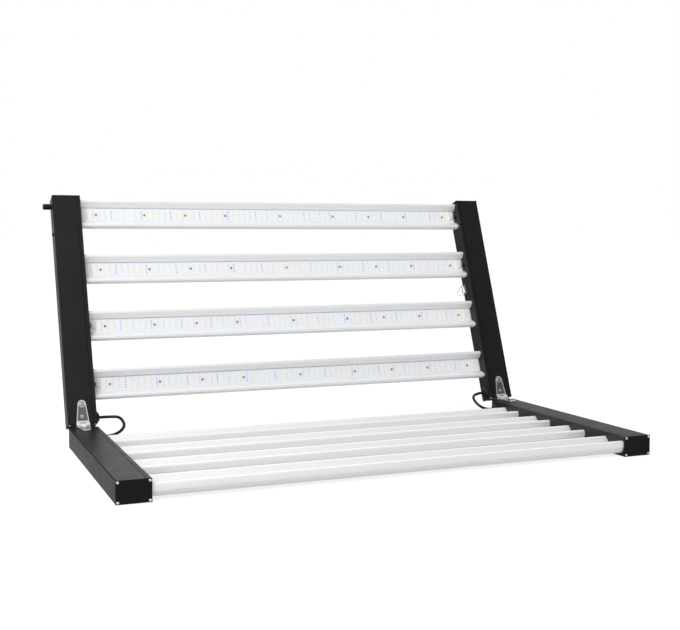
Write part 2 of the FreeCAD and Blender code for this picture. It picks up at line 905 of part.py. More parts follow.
def hinge_screws(wing):
    shape = screw("hinge")
    shapes = []
    for side in (LEFT, RIGHT):
        for place in (cell("hinge_screw_near"), cell("hinge_screw_far")):
            x = rail_x(side, rail_width / 2)
            shapes.append(placed(shape, in_wing(wing, x, place - axis_gap, -cell("leaf_floor"))))
    return gather(f"{wing}_hinge_screws", shapes)


# ---------------------------------------------------------------- inside and on the rails

def led_drivers(wing):
    """A slim power supply on the back wall inside each rail."""
    cases = []
    for side in (LEFT, RIGHT):
        case = doc.addObject("Part::Box", "driver")
        bind(case, "Length", cell("driver_width"))
        bind(case, "Width", cell("driver_length"))
        bind(case, "Height", cell("driver_depth"))
        inset = cell("driver_inset") if side == LEFT else cell("driver_inset") + cell("driver_width")
        case.Placement = in_wing(wing, rail_x(side, inset), cell("driver_start"), rail_depth - rail_wall)
        cases.append(case)
    group = doc.addObject("Part::Compound", f"{wing}_cases")
    group.Links = cases
    return add_node(f"{wing}_led_drivers", group)


def gland_place(wing, side, proud):
    x = rail_x(side, rail_width + proud)
    return in_wing(wing, x, cell("gland_reach"), cell("gland_depth"), facing(side))


def cable_glands(wing):
    """A round gland in each rail's inner wall, held by its nut inside."""
    outer = plain(cell("gland_radius"))
    neck = plain(cell("gland_neck"))
    nose = plain(cell("gland_nose"))
    skirt = plain(cell("gland_skirt"))
    nut = plain(cell("gland_nut"))
    nut_floor = -plain(rail_wall) - plain(cell("gland_nut_height"))
    proud = plain(gland_proud)
    wall = plain(rail_wall)
    shape = turned([
        (0, proud),
        (nose - 0.8, proud),
        (nose, proud - 0.6),
        (outer - 1.2, skirt + 1.0),
        (outer, skirt),
        (outer, 0),
        (neck, 0),
        (neck, -wall),
        (nut, -wall),
        (nut, nut_floor),
        (0, nut_floor),
    ])
    places = [gland_place(wing, side, 0) for side in (LEFT, RIGHT)]
    return gather(f"{wing}_cable_glands", [placed(shape, place) for place in places])


# how much of the shorter run each arc of a cable takes, and how far a tube's volume may be off
RUN_SHARE = 0.45
VOLUME_TOLERANCE = 0.01


def tube(points, radius):
    """A round tube along straight runs joined by tangent arcs, and its arcs' radii."""
    edges = []
    radii = []
    start = points[0]
    for number in range(1, len(points) - 1):
        before, corner, after = points[number - 1:number + 2]
        run_in = corner - before
        run_out = after - corner
        half_turn = run_in.getAngle(run_out) / 2
        cut = RUN_SHARE * min(run_in.Length, run_out.Length)
        arc_radius = cut / math.tan(half_turn)
        into = run_in.normalize()
        out = run_out.normalize()
        first = corner - into * cut
        last = corner + out * cut
        centre_way = (out - into).normalize()
        to_centre = arc_radius / math.cos(half_turn)
        middle = corner + centre_way * (to_centre - arc_radius)
        edges.append(Part.LineSegment(start, first).toShape())
        edges.append(Part.Arc(first, middle, last).toShape())
        radii.append(arc_radius)
        start = last
    edges.append(Part.LineSegment(start, points[-1]).toShape())
    path = Part.Wire(edges)
    section = Part.Wire(Part.makeCircle(radius, points[0], points[1] - points[0]))
    shape = path.makePipeShell([section], True, False)
    expected = math.pi * radius * radius * path.Length
    if abs(shape.Volume - expected) > VOLUME_TOLERANCE * expected:
        raise ValueError("a tube's volume isn't its section times its length")
    return shape, radii, path.Length


# Each jumper's route: the straight run out of the upper gland, the outer points of the loop as
# (distance in from the glands' faces, along Y from the hinge axis, up from it), and the run into
# the lower gland.
JUMPER_ROUTES = {
    "left": (23.0, [(43.5, 18.5, 9.5), (48.5, -10.5, -7.5)], 23.0),
    "right": (16.5, [(37.5, 15.0, 3.0), (37.5, -10.5, -11.5)], 18.5),
}


def jumper_cable(name, upper_side, lower_side, inwards):
    """The cable that links the upper and the lower wing's drivers at one side."""
    start = gland_place("upper", upper_side, gland_proud).Base
    end = gland_place("lower", lower_side, gland_proud).Base
    first_run, loop, last_run = JUMPER_ROUTES[name]
    points = [start, start + Vector(first_run * inwards, 0, 0)]
    for inward, y, z in loop:
        points.append(Vector(start.x + inward * inwards, axis_point.y + y, axis_point.z + z))
    points += [end + Vector(last_run * inwards, 0, 0), end]
    shape, radii, length = tube(points, plain(cell("cable_radius")))
    print(f"{name} jumper cable: length {length:.1f}, radii", " ".join(f"{radius:.1f}" for radius in radii))
    print("   route", " ".join(f"({point.x:.2f}, {point.y:.2f}, {point.z:.2f})" for point in points))
    return add_shape(f"{name}_jumper_cable", shape)


# ---------------------------------------------------------------- hangers

def hanger_plate(wing):
    """A strap riveted to the rail's inner face, curled round the ring's straight leg."""
    body = new_body(f"{wing}_hanger")
    thick = cell("hanger_thickness")
    curl_depth = cell("hanger_depth")
    curl_start = curl_depth - cell("curl_radius")
    leg = cell("curl_radius") + cell("curl_gap")
    curl_length = cell("hanger_curl_length")
    top = cell("hanger_top")
    plate = new_sketch(body)
    outline(plate, [(0, top), (thick, top), (thick, curl_start), (0, curl_start)])
    pad(body, plate, cell("hanger_length"), both_ways=True)
    neck = new_sketch(body)
    outline(neck, [
        (0, curl_start - thick),
        (thick, curl_start - thick),
        (leg, curl_start),
        (leg, curl_depth),
        (cell("curl_gap"), curl_depth),
        (0, curl_start),
    ])
    pad(body, neck, curl_length, both_ways=True)
    curl = new_sketch(body)
    circle(curl, leg, curl_depth, cell("curl_radius"))
    pad(body, curl, curl_length, both_ways=True)
    bore = new_sketch(body)
    circle(bore, leg, curl_depth, cell("ring_wire_radius") + clearance)
    pocket(body, bore, curl_length)
    holes = new_sketch(body, "YZ_Plane")
    for way in (-1, 1):
        along = cell("rivet_spacing") / 2 * way
        circle(holes, cell("rivet_depth"), along, cell("bar_screw_radius") + clearance)
    pocket(body, holes, cell("hanger_thickness") + clearance)
    doc.recompute()
    return body.Shape.copy()


def hanger_frame(wing, side):
    """A frame on the rail's inner face: +X away from the rail, +Y is depth and +Z along the rail."""
    turn = Rotation(Vector(-side, 0, 0), Vector(0, 0, -1), Vector(0, -side, 0), "XYZ")
    return in_wing(wing, rail_x(side, rail_width), cell("hanger_reach"), 0, turn)


def hanger_plates(wing):
    """Both plates of a wing with their rivets, which are headed on both sides of the wall."""
    thick = plain(cell("hanger_thickness"))
    wall = plain(rail_wall)
    head = plain(cell("rivet_radius"))
    shank = plain(cell("bar_screw_radius"))
    height = plain(cell("rivet_height"))
    tail = plain(cell("rivet_tail"))
    rivet = turned([
        (0, thick + height),
        (head * 0.6, thick + height * 0.85),
        (head, thick + height * 0.35),
        (head, thick),
        (shank, thick),
        (shank, -wall),
        (head, -wall),
        (head, -wall - tail),
        (0, -wall - tail),
    ])
    outwards = Rotation(Vector(0, 0, 1), Vector(1, 0, 0))
    plate = hanger_plate(wing)
    shapes = []
    for side in (LEFT, RIGHT):
        frame = hanger_frame(wing, side)
        shapes.append(placed(plate, frame))
        for way in (-1, 1):
            along = plain(cell("rivet_spacing")) / 2 * way
            place = Placement(Vector(0, plain(cell("rivet_depth")), along), outwards)
            shapes.append(placed(rivet, frame * place))
    return gather(f"{wing}_hanger_plates", shapes)


def rounded_loop(points, radius):
    """A closed wire through the points with each corner rounded."""
    edges = []
    count = len(points)
    ends = []
    for number in range(count):
        corner = points[number]
        into = (corner - points[number - 1]).normalize()
        out = (points[(number + 1) % count] - corner).normalize()
        half_turn = into.getAngle(out) / 2
        cut = radius * math.tan(half_turn)
        middle = corner + (out - into).normalize() * (radius / math.cos(half_turn) - radius)
        ends.append((corner - into * cut, middle, corner + out * cut))
    for number in range(count):
        first, middle, last = ends[number]
        following = ends[(number + 1) % count][0]
        edges.append(Part.Arc(first, middle, last).toShape())
        edges.append(Part.LineSegment(last, following).toShape())
    return Part.Wire(edges)


def hanger_ring(wing, side):
    """A triangular wire ring whose straight leg turns in the hanger plate."""
    half_base = plain(cell("ring_base")) / 2
    height = plain(cell("ring_height"))
    corners = [Vector(0, 0, -half_base), Vector(0, height, 0), Vector(0, 0, half_base)]
    loop = rounded_loop(corners, plain(cell("ring_corner")))
    start = loop.Edges[1]
    first = start.valueAt(start.FirstParameter)
    way = start.tangentAt(start.FirstParameter)
    section = Part.Wire(Part.makeCircle(plain(cell("ring_wire_radius")), first, way))
    edges = loop.Edges[1:] + loop.Edges[:1]
    shape = Part.Wire(edges).makePipeShell([section], True, False)
    swing = 0 if wing == "upper" else -plain(cell("lower_ring_swing"))
    leg = plain(cell("curl_radius") + cell("curl_gap"))
    pivot = Placement(Vector(leg, plain(cell("hanger_depth")), 0), Rotation(Vector(0, 0, 1), swing))
    name = f"{wing}_{SIDE_NAMES[wing, side]}_hanger_ring"
    return add_shape(name, shape, hanger_frame(wing, side) * pivot)


# ---------------------------------------------------------------- controls

def outer_place(side, from_end, depth):
    """A frame on the upper rail's outer face, +Z pointing away from the light."""
    turn = Rotation(Vector(0, 0, 1), Vector(side, 0, 0))
    return in_wing("upper", rail_x(side, 0), rail_length - from_end, depth, turn)


KNOB_FLUTES = 18


def dimmer_place():
    return outer_place(LEFT, cell("knob_from_end"), cell("knob_depth"))


def dimmer_knob():
    """A slim knob with a grip ribbed along its length, a domed end and a blind hole for the shaft."""
    radius = plain(cell("knob_radius"))
    length = plain(cell("knob_length"))
    low = plain(cell("knob_stand_off"))
    top = low + length
    margin = plain(cell("flute_margin"))
    shape = Part.makeCylinder(radius, length, Vector(0, 0, low))
    tip = [edge for edge in shape.Edges if edge.BoundBox.ZMin > low + length / 2]
    shape = shape.makeFillet(plain(cell("knob_crown")), tip)
    bore = plain(cell("shaft_radius") + clearance)
    shape = shape.cut(Part.makeCylinder(bore, plain(cell("knob_bore")), Vector(0, 0, low)))
    for number in range(KNOB_FLUTES):
        angle = 2 * math.pi * number / KNOB_FLUTES
        foot = Vector(radius * math.cos(angle), radius * math.sin(angle), low + margin)
        shape = shape.cut(Part.makeCylinder(plain(cell("flute_radius")), length - margin * 2, foot))
    width = plain(cell("pointer_width"))
    corner = Vector(-width / 2, width, top - plain(cell("pointer_depth")))
    pointer = Part.makeBox(width, radius - width * 3, width * 2, corner)
    return add_shape("dimmer_knob", shape.cut(pointer), dimmer_place())


def dimmer_shaft():
    """The dimmer's shaft, which the knob is pushed on to."""
    low = -plain(rail_wall) - plain(cell("shaft_sunk"))
    top = plain(cell("knob_stand_off") + cell("knob_bore"))
    shape = Part.makeCylinder(plain(cell("shaft_radius")), top - low, Vector(0, 0, low))
    return add_shape("dimmer_shaft", shape, dimmer_place())


def dimmer_potentiometer():
    """The control's case behind the wall, and its bush through the wall round the shaft."""
    wall = plain(rail_wall)
    case_depth = plain(cell("dimmer_case_depth"))
    case = Part.makeCylinder(plain(cell("dimmer_case_radius")), case_depth, Vector(0, 0, -wall - case_depth))
    bush_length = wall + plain(cell("bush_proud"))
    bush = Part.makeCylinder(plain(cell("bush_radius")), bush_length, Vector(0, 0, -wall))
    sunk = wall + plain(cell("shaft_sunk") + clearance)
    bore = Part.makeCylinder(plain(cell("shaft_radius") + clearance), sunk * 2, Vector(0, 0, -sunk))
    shape = case.fuse(bush).removeSplitter().cut(bore)
    return add_shape("dimmer_potentiometer", shape, dimmer_place())


def link_port():
    """The small covered socket for the link cable."""
    radius = plain(cell("port_radius"))
    neck = plain(cell("port_neck"))
    nut = plain(cell("port_nut"))
    proud = plain(cell("port_proud"))
    wall = plain(rail_wall)
    floor = -wall - plain(cell("port_body"))
    shape = turned([
        (0, proud),
        (radius - 0.6, proud),
        (radius, proud - 0.6),
        (radius, 0),
        (neck, 0),
        (neck, -wall),
        (nut, -wall),
        (nut, floor),
        (0, floor),
    ])
    return add_shape("link_port", shape, outer_place(LEFT, cell("port_from_end"), cell("knob_depth")))


def block(width, height, low, top):
    """A box with its middle on the Z axis."""
    return Part.makeBox(width, height, top - low, Vector(-width / 2, -height / 2, low))


def mains_inlet():
    """An appliance inlet with three blades in a deep recess."""
    flange = plain(cell("inlet_flange"))
    fit = plain(cell("inlet_fit"))
    wide = plain(cell("inlet_width")) - 2 * fit
    high = plain(cell("inlet_height")) - 2 * fit
    wall = plain(cell("inlet_wall"))
    lip = plain(cell("inlet_lip"))
    deep = -plain(cell("inlet_depth"))
    floor = deep + plain(cell("inlet_floor"))
    shape = block(wide + 2 * lip, high + 2 * lip, 0, flange).fuse(block(wide, high, deep, 0))
    shape = shape.cut(block(wide - 2 * wall, high - 2 * wall, floor, flange))
    blade = block(
        plain(cell("blade_width")), plain(cell("blade_height")), floor, floor + plain(cell("blade_length")))
    spacing = plain(cell("blade_spacing"))
    stagger = plain(cell("blade_stagger"))
    for x, y in ((-spacing, -stagger), (0, stagger), (spacing, -stagger)):
        shape = shape.fuse(blade.translated(Vector(x, y, 0)))
    turn = Placement(Vector(), Rotation(Vector(0, 0, 1), 90))
    place = outer_place(RIGHT, cell("inlet_from_end"), rail_depth / 2) * turn
    return add_shape("mains_inlet", shape.removeSplitter(), place)


# ---------------------------------------------------------------- assembly

for wing in WINGS:
    for side in (LEFT, RIGHT):
        rail_channel(wing, side)
        rail_cover(wing, side)
        hinge_leaf(wing, side)
        hanger_ring(wing, side)
    for number in BAR_NUMBERS:
        led_bar(wing, number)
        led_board(wing, number)
    end_caps(wing)
    cap_screws(wing)
    board_screws(wing)
    bar_screws(wing)
    wire_terminals(wing)
    wire_grommets(wing)
    hinge_screws(wing)
    led_drivers(wing)
    cable_glands(wing)
    hanger_plates(wing)
hinge_pins()
jumper_cable("left", LEFT, RIGHT, 1)
jumper_cable("right", RIGHT, LEFT, -1)
dimmer_knob()
dimmer_shaft()
dimmer_potentiometer()
link_port()
mains_inlet()
doc.recompute()

for thing in doc.Objects:
    if "Invalid" in thing.State or "Error" in thing.State:
        raise ValueError(f"{thing.Label} failed: {thing.State}")
for node in nodes:
    if node.Shape.isNull() or not node.Shape.isValid() or not node.Shape.Solids:
        raise ValueError(f"{node.Label} has no valid solid")

os.makedirs(NODE_FOLDER, exist_ok=True)
for node in nodes:
    node.Shape.exportStep(f"{NODE_FOLDER}/{node.Label}.step")
print(f"{len(nodes)} nodes written")
whole = Part.makeCompound([node.Shape for node in nodes]).BoundBox
for axis in "XYZ":
    low, high = getattr(whole, f"{axis}Min"), getattr(whole, f"{axis}Max")
    print(f"box {axis} {low:.2f} to {high:.2f}")
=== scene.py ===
"""Looks of the folding LED grow light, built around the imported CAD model.

Lengths are in metres, unless a comment says otherwise."""
import json
import math

import bmesh
import bpy
from mathutils import Matrix, Vector


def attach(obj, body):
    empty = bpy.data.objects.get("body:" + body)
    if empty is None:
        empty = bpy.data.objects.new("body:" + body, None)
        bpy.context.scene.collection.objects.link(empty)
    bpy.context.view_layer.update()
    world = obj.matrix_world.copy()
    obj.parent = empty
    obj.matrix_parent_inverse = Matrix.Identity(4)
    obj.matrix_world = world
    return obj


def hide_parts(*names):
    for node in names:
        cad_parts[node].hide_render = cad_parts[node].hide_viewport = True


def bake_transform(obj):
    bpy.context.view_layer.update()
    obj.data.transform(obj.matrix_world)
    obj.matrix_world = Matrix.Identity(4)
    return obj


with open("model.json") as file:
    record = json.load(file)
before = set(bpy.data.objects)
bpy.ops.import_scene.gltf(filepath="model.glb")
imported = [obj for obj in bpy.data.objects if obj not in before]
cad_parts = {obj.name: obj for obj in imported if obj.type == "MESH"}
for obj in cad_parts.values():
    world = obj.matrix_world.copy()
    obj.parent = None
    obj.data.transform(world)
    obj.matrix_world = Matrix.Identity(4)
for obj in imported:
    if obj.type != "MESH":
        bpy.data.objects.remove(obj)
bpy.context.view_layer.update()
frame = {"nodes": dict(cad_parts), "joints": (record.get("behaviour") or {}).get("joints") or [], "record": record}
scene = bpy.context.scene
nodes = frame["nodes"]
joints = {joint["name"]: joint for joint in frame["joints"]}

# ---------------------------------------------------------------- the two wings' own frames
#
# A wing's frame has its origin on the fold axis, +X along the axis, +Y along the rails away from
# the hinge and +Z the way the LEDs shine.

FOLD = joints["wing_fold"]
AXIS_POINT = Vector(FOLD["pos_m"])
OPEN_ANGLE = math.radians(FOLD["range_deg"][1])
WINGS = {
    "upper": Matrix.Translation(AXIS_POINT) @ Matrix.Rotation(math.pi - OPEN_ANGLE, 4, "X"),
    "lower": Matrix.Translation(AXIS_POINT) @ Matrix.Rotation(math.pi, 4, "Z"),
}
BODY = {"upper": "upper_wing", "lower": "lower_wing"}
BARS = (1, 2, 3, 4)
MM = 0.001

# In millimetres: how far the rails' LED face lies below the fold axis, how far the first bar's
# middle is from the axis, and the bars' pitch
FACE_DEPTH = 4.0
FIRST_BAR_REACH = 90.0
BAR_PITCH = 129.0

# In metres: the rails' inner walls, the heights of the wire holes, terminals and boards' faces, and
# each bar's distance from the axis
RAIL_INNER_X = 0.4685
WALL_HOLE_Z = -(FACE_DEPTH + 17.5) * MM
TERMINAL_Z = -(FACE_DEPTH + 20.9) * MM
BOARD_Z = -(FACE_DEPTH + 23.0) * MM
BAR_REACH = {number: (FIRST_BAR_REACH + BAR_PITCH * (number - 1)) * MM for number in BARS}

# Each board's LEDs and screws. A screw's column is counted in LED pitches from the middle.
COLUMN_PITCH = 13.53 * MM
COLUMNS_EACH_SIDE = 34
ROWS = (-8.6 * MM, -2.9 * MM, 2.9 * MM, 8.6 * MM)
SCREW_COLUMNS = (-32, -24, -17, -10, 0, 10, 17, 24, 32)

# The boards' clear coating: its reach from the middle, and how far its edge fades each way
COATING_HALF = 0.432
COATING_FADE = 0.004

# The hinge leaves: the floor and the rim of their trays
TRAY_Z = -2.3 * MM
RIM_Z = -1.2 * MM

# The end of each bar that its wires leave from: -1 is left and 1 is right
WIRED_SIDE = {1: -1, 2: -1, 3: 1, 4: 1}

# Edges sharper than these angles stay sharp
TUBE_SMOOTHING = math.radians(60)
BOSS_SMOOTHING = math.radians(30)

WHITE = (1.0, 1.0, 1.0, 1.0)


# ---------------------------------------------------------------- helpers

def from_bmesh(name, bm, matrix, smooth_angle=None):
    """An object from a bmesh moved by a matrix; smooth up to an angle, or flat with none given."""
    bmesh.ops.transform(bm, matrix=matrix, verts=bm.verts)
    mesh = bpy.data.meshes.new(name)
    bm.to_mesh(mesh)
    bm.free()
    if smooth_angle is not None:
        mesh.polygons.foreach_set("use_smooth", [True] * len(mesh.polygons))
        mesh.set_sharp_from_angle(angle=smooth_angle)
    thing = bpy.data.objects.new(name, mesh)
    scene.collection.objects.link(thing)
    return thing


def finish_piece(piece, body, slot, *materials):
    """Gives a piece its materials and the body that it rides on. Its slot in the record is not used."""
    for item in materials:
        piece.data.materials.append(item)
    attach(piece, body)


# ---------------------------------------------------------------- camera

# fitted to the photo: place in metres, angles in degrees, lens and sensor in millimetres
CAMERA_PLACE = (-0.8315, -2.0768, 0.4344)
CAMERA_DOWN = 4.247
CAMERA_RIGHT = 22.356
LENS = 56.63
SENSOR_WIDTH = 36.0


def make_camera():
    camera = bpy.data.objects.new("camera", bpy.data.cameras.new("camera"))
    camera.data.sensor_width = SENSOR_WIDTH
    camera.data.lens = LENS
    camera.location = CAMERA_PLACE
    camera.rotation_euler = (math.radians(90 - CAMERA_DOWN), 0, math.radians(-CAMERA_RIGHT))
    scene.collection.objects.link(camera)
    scene.camera = camera


make_camera()

# ---------------------------------------------------------------- materials


class Shader:
    """A material's node tree, with short ways to add and join nodes."""

    def __init__(self, name):
        self.material = bpy.data.materials.new(name)
        self.material.use_nodes = True
        self.tree = self.material.node_tree
        self.shader = self.tree.nodes["Principled BSDF"]

    def add(self, kind, operation=None):
        node = self.tree.nodes.new(kind)
        if operation:
            node.operation = operation
        return node

    def join(self, source, target):
        self.tree.links.new(source, target)

    def set(self, **values):
        """Constant values on the shader's own sockets, with _ for each space in a name."""
        for key, value in values.items():
            self.shader.inputs[key.replace("_", " ")].default_value = value

    def coordinates(self, scale=(1, 1, 1)):
        """Positions in the part's frame, stretched by a scale."""
        place = self.add("ShaderNodeTexCoord")
        mapping = self.add("ShaderNodeMapping")
        mapping.inputs["Scale"].default_value = scale
        self.join(place.outputs["Object"], mapping.inputs["Vector"])
        return mapping.outputs["Vector"]

    def noise(self, vector, scale, detail=3.0):
        node = self.add("ShaderNodeTexNoise")
        node.inputs["Scale"].default_value = scale
        node.inputs["Detail"].default_value = detail
        self.join(vector, node.inputs["Vector"])
        return node.outputs["Fac"]

    def spread(self, value, low, high, start=0.3, end=0.7):
        """A value mapped from start..end to low..high."""
        node = self.add("ShaderNodeMapRange")
        node.inputs["From Min"].default_value = start
        node.inputs["From Max"].default_value = end
        node.inputs["To Min"].default_value = low
        node.inputs["To Max"].default_value = high
        self.join(value, node.inputs["Value"])
        return node.outputs["Result"]

    def ramp(self, value, stops):
        """A colour from a value, by stops of (position, colour)."""
        node = self.add("ShaderNodeValToRGB")
        elements = node.color_ramp.elements
        while len(elements) < len(stops):
            elements.new(0.5)
        for element, (position, colour) in zip(elements, stops):
            element.position = position
            element.color = (*colour, 1.0)
        self.join(value, node.inputs["Fac"])
        return node.outputs["Color"]

    def bump(self, height, strength, distance):
        """Adds a bump on top of any that the shader already has."""
        node = self.add("ShaderNodeBump")
        node.inputs["Strength"].default_value = strength
        node.inputs["Distance"].default_value = distance
        self.join(height, node.inputs["Height"])
        previous = self.shader.inputs["Normal"].links
        if previous:
            self.join(previous[0].from_socket, node.inputs["Normal"])
        self.join(node.outputs["Normal"], self.shader.inputs["Normal"])

    def colour(self, output):
        self.join(output, self.shader.inputs["Base Color"])

    def rough(self, output):
        self.join(output, self.shader.inputs["Roughness"])


# the powder coat's two shades, as (ramp position, what the tone is multiplied by)
COAT_SHADES = [(0.3, (1.0, 1.0, 1.05)), (0.7, (1.3, 1.3, 1.35))]


def powder_coat(name, tone, shine):
    """Satin black powder coat: fine orange peel, and faintly uneven gloss."""
    m = Shader(name)
    m.set(IOR=1.45, Specular_IOR_Level=shine)
    place = m.coordinates()
    shades = [(at, tuple(tone * factor for factor in factors)) for at, factors in COAT_SHADES]
    m.colour(m.ramp(m.noise(place, scale=9.0), shades))
    m.rough(m.spread(m.noise(place, scale=30.0, detail=4.0), low=0.36, high=0.42))
    m.bump(m.noise(place, scale=900.0, detail=2.0), strength=0.05, distance=0.0004)
    m.bump(m.noise(place, scale=260.0, detail=2.0), strength=0.04, distance=0.0006)
    return m.material


def anodised():
    """Clear anodised extrusion: die lines along X and a satin sheen across them."""
    m = Shader("anodised_aluminium")
    m.set(Metallic=0.4)
    lines = m.coordinates((0.6, 900.0, 900.0))
    shades = [(0.25, (0.85, 0.852, 0.855)), (0.75, (0.90, 0.902, 0.905))]
    m.colour(m.ramp(m.noise(lines, scale=1.0, detail=4.0), shades))
    m.rough(m.spread(m.noise(lines, scale=1.0), low=0.46, high=0.54))
    fine_lines = m.coordinates((0.5, 1500.0, 1500.0))
    m.bump(m.noise(fine_lines, scale=1.0, detail=2.0), strength=0.06, distance=0.0002)
    return m.material


def solder_mask():
    """White board lacquer, tinted faintly blue where the clear coating lies on it."""
    m = Shader("white_solder_mask")
    m.set(Roughness=0.35, Coat_Weight=0.4, Coat_Roughness=0.15)
    place = m.coordinates()
    across = m.add("ShaderNodeSeparateXYZ")
    m.join(place, across.inputs["Vector"])
    distance = m.add("ShaderNodeMath", operation="SUBTRACT")
    distance.inputs[1].default_value = AXIS_POINT.x
    m.join(across.outputs["X"], distance.inputs[0])
    outwards = m.add("ShaderNodeMath", operation="ABSOLUTE")
    m.join(distance.outputs["Value"], outwards.inputs[0])
    coated = m.spread(
        outwards.outputs["Value"], low=1.0, high=0.0,
        start=COATING_HALF - COATING_FADE, end=COATING_HALF + COATING_FADE)
    m.colour(m.ramp(coated, [(0.0, (0.86, 0.86, 0.86)), (1.0, (0.78, 0.82, 0.89))]))
    m.bump(m.noise(place, scale=400.0, detail=2.0), strength=0.08, distance=0.0001)
    return m.material


def hinge_zinc(wing):
    """Plated zinc with a painted dark reflection in its tray, coloured darker than its rim by its height in the
    wing's frame.
    """
    m = Shader(f"{wing}_hinge_zinc")
    m.set(Metallic=0.8)
    place = m.coordinates()
    facing = WINGS[wing].to_3x3() @ Vector((0, 0, 1))
    height = m.add("ShaderNodeVectorMath", operation="DOT_PRODUCT")
    height.inputs[1].default_value = facing
    m.join(place, height.inputs[0])
    base = AXIS_POINT.dot(facing)
    raised = m.spread(
        height.outputs["Value"], low=0.0, high=1.0, start=base + TRAY_Z, end=base + RIM_Z)
    # painted reflection: the tray is coloured dark as if it mirrors the black rails, and the rim pale
    m.colour(m.ramp(raised, [(0.0, (0.19, 0.195, 0.21)), (0.9, (0.92, 0.925, 0.935))]))
    m.rough(m.spread(m.noise(place, scale=90.0, detail=2.0), low=0.26, high=0.34))
    m.bump(m.noise(place, scale=500.0, detail=2.0), strength=0.05, distance=0.0001)
    return m.material


# how far a plain material's colour and roughness go to each side of what is asked for, as shares
COLOUR_SPREAD = 0.08
ROUGHNESS_SPREAD = 0.1


def plain_material(name, colour, roughness, metallic=0.0, grain=0.06, **more):
    """A moulded or plated surface: a slightly uneven colour and gloss, and a fine grain."""
    m = Shader(name)
    m.set(Metallic=metallic, **more)
    place = m.coordinates()
    dark = tuple(channel * (1 - COLOUR_SPREAD) for channel in colour)
    light = tuple(min(channel * (1 + COLOUR_SPREAD), 1.0) for channel in colour)
    m.colour(m.ramp(m.noise(place, scale=60.0), [(0.3, dark), (0.7, light)]))
    m.rough(m.spread(
        m.noise(place, scale=90.0, detail=2.0),
        low=roughness * (1 - ROUGHNESS_SPREAD), high=roughness * (1 + ROUGHNESS_SPREAD)))
    m.bump(m.noise(place, scale=600.0, detail=2.0), strength=grain, distance=0.0001)
    return m.material


BLACK_COAT = powder_coat("black_powder_coat", 0.009, 0.26)
CAP_COAT = powder_coat("black_cap_coat", 0.009, 0.06)
ANODISED = anodised()
SOLDER_MASK = solder_mask()
ZINC = plain_material("zinc_plate", (0.60, 0.61, 0.63), 0.26, metallic=1.0)
HANGER_ZINC = plain_material("hanger_zinc", (0.42, 0.425, 0.44), 0.42, metallic=1.0)
RING_WIRE = plain_material("ring_wire", (0.86, 0.86, 0.87), 0.45, metallic=0.2)
SCREW_STEEL = plain_material("screw_steel", (0.84, 0.845, 0.85), 0.30, metallic=0.85)
DARK_STEEL = plain_material("blackened_steel", (0.40, 0.40, 0.43), 0.35, metallic=1.0)
RUBBER = plain_material(
    "black_rubber", (0.007, 0.007, 0.0075), 0.55, grain=0.12, Specular_IOR_Level=0.25)
JACKET = plain_material("cable_jacket", (0.006, 0.006, 0.0065), 0.42, Specular_IOR_Level=0.3)
KNOB = plain_material("knob_plastic", (0.004, 0.004, 0.0045), 0.30, Specular_IOR_Level=0.35)
DARK_PLASTIC = plain_material("control_plastic", (0.009, 0.009, 0.010), 0.4, Specular_IOR_Level=0.3)
TERMINAL = plain_material("terminal_plastic", (0.66, 0.68, 0.70), 0.4)
DRIVER_CASE = plain_material("driver_case", (0.05, 0.05, 0.055), 0.5)
LED_FRAME = plain_material("led_frame", (0.86, 0.85, 0.82), 0.45)
PHOSPHOR_ORANGE = plain_material("led_orange_window", (0.98, 0.66, 0.34), 0.3)
PHOSPHOR_YELLOW = plain_material("led_yellow_window", (0.92, 0.78, 0.38), 0.3)
LED_DARK = plain_material("led_red_window", (0.50, 0.50, 0.54), 0.3)
LED_PALE = plain_material("led_pale_window", (0.68, 0.67, 0.66), 0.3)
RED_WIRE = plain_material("red_wire", (0.32, 0.02, 0.02), 0.4)
BLACK_WIRE = plain_material("black_wire", (0.012, 0.012, 0.013), 0.4)


# ---------------------------------------------------------------- jumper cables

SPLINE_STEPS = 16
CABLE_SIDES = 20
WIRE_SIDES = 10


def resolved_path(name, points):
    """A cable's smooth line: a NURBS spline with the route's points as its control points."""
    curve = bpy.data.curves.new(name, "CURVE")
    curve.dimensions = "3D"
    spline = curve.splines.new("NURBS")
    spline.points.add(len(points) - 1)
    for place, point in zip(spline.points, points):
        place.co = (*point, 1.0)
    spline.order_u = 3
    spline.use_endpoint_u = True
    spline.resolution_u = SPLINE_STEPS
    line = bpy.data.objects.new(name, curve)
    scene.collection.objects.link(line)
    bpy.context.view_layer.update()
    mesh = bpy.data.meshes.new_from_object(line)
    path = [vertex.co.copy() for vertex in mesh.vertices]
    bpy.data.objects.remove(line)
    bpy.data.meshes.remove(mesh)
    return path


def add_tube(bm, path, radius, sides, material=0):
    """Adds a round tube along a path, closed at both ends."""
    side = Vector((0, 0, 1))
    before = len(bm.faces)
    rings = []
    for number, point in enumerate(path):
        way = (path[min(number + 1, len(path) - 1)] - path[max(number - 1, 0)]).normalized()
        side = (side - way * side.dot(way)).normalized()
        up = way.cross(side)
        ring = []
        for step in range(sides):
            angle = 2 * math.pi * step / sides
            outwards = side * math.cos(angle) + up * math.sin(angle)
            ring.append(bm.verts.new(point + outwards * radius))
        rings.append(ring)
    for first, second in zip(rings, rings[1:]):
        for step in range(sides):
            following = (step + 1) % sides
            bm.faces.new((first[step], second[step], second[following], first[following]))
    bm.faces.new(rings[0])
    bm.faces.new(reversed(rings[-1]))
    bm.faces.ensure_lookup_table()
    added = bm.faces[before:]
    bmesh.ops.recalc_face_normals(bm, faces=added)
    for face in added:
        face.material_index = material


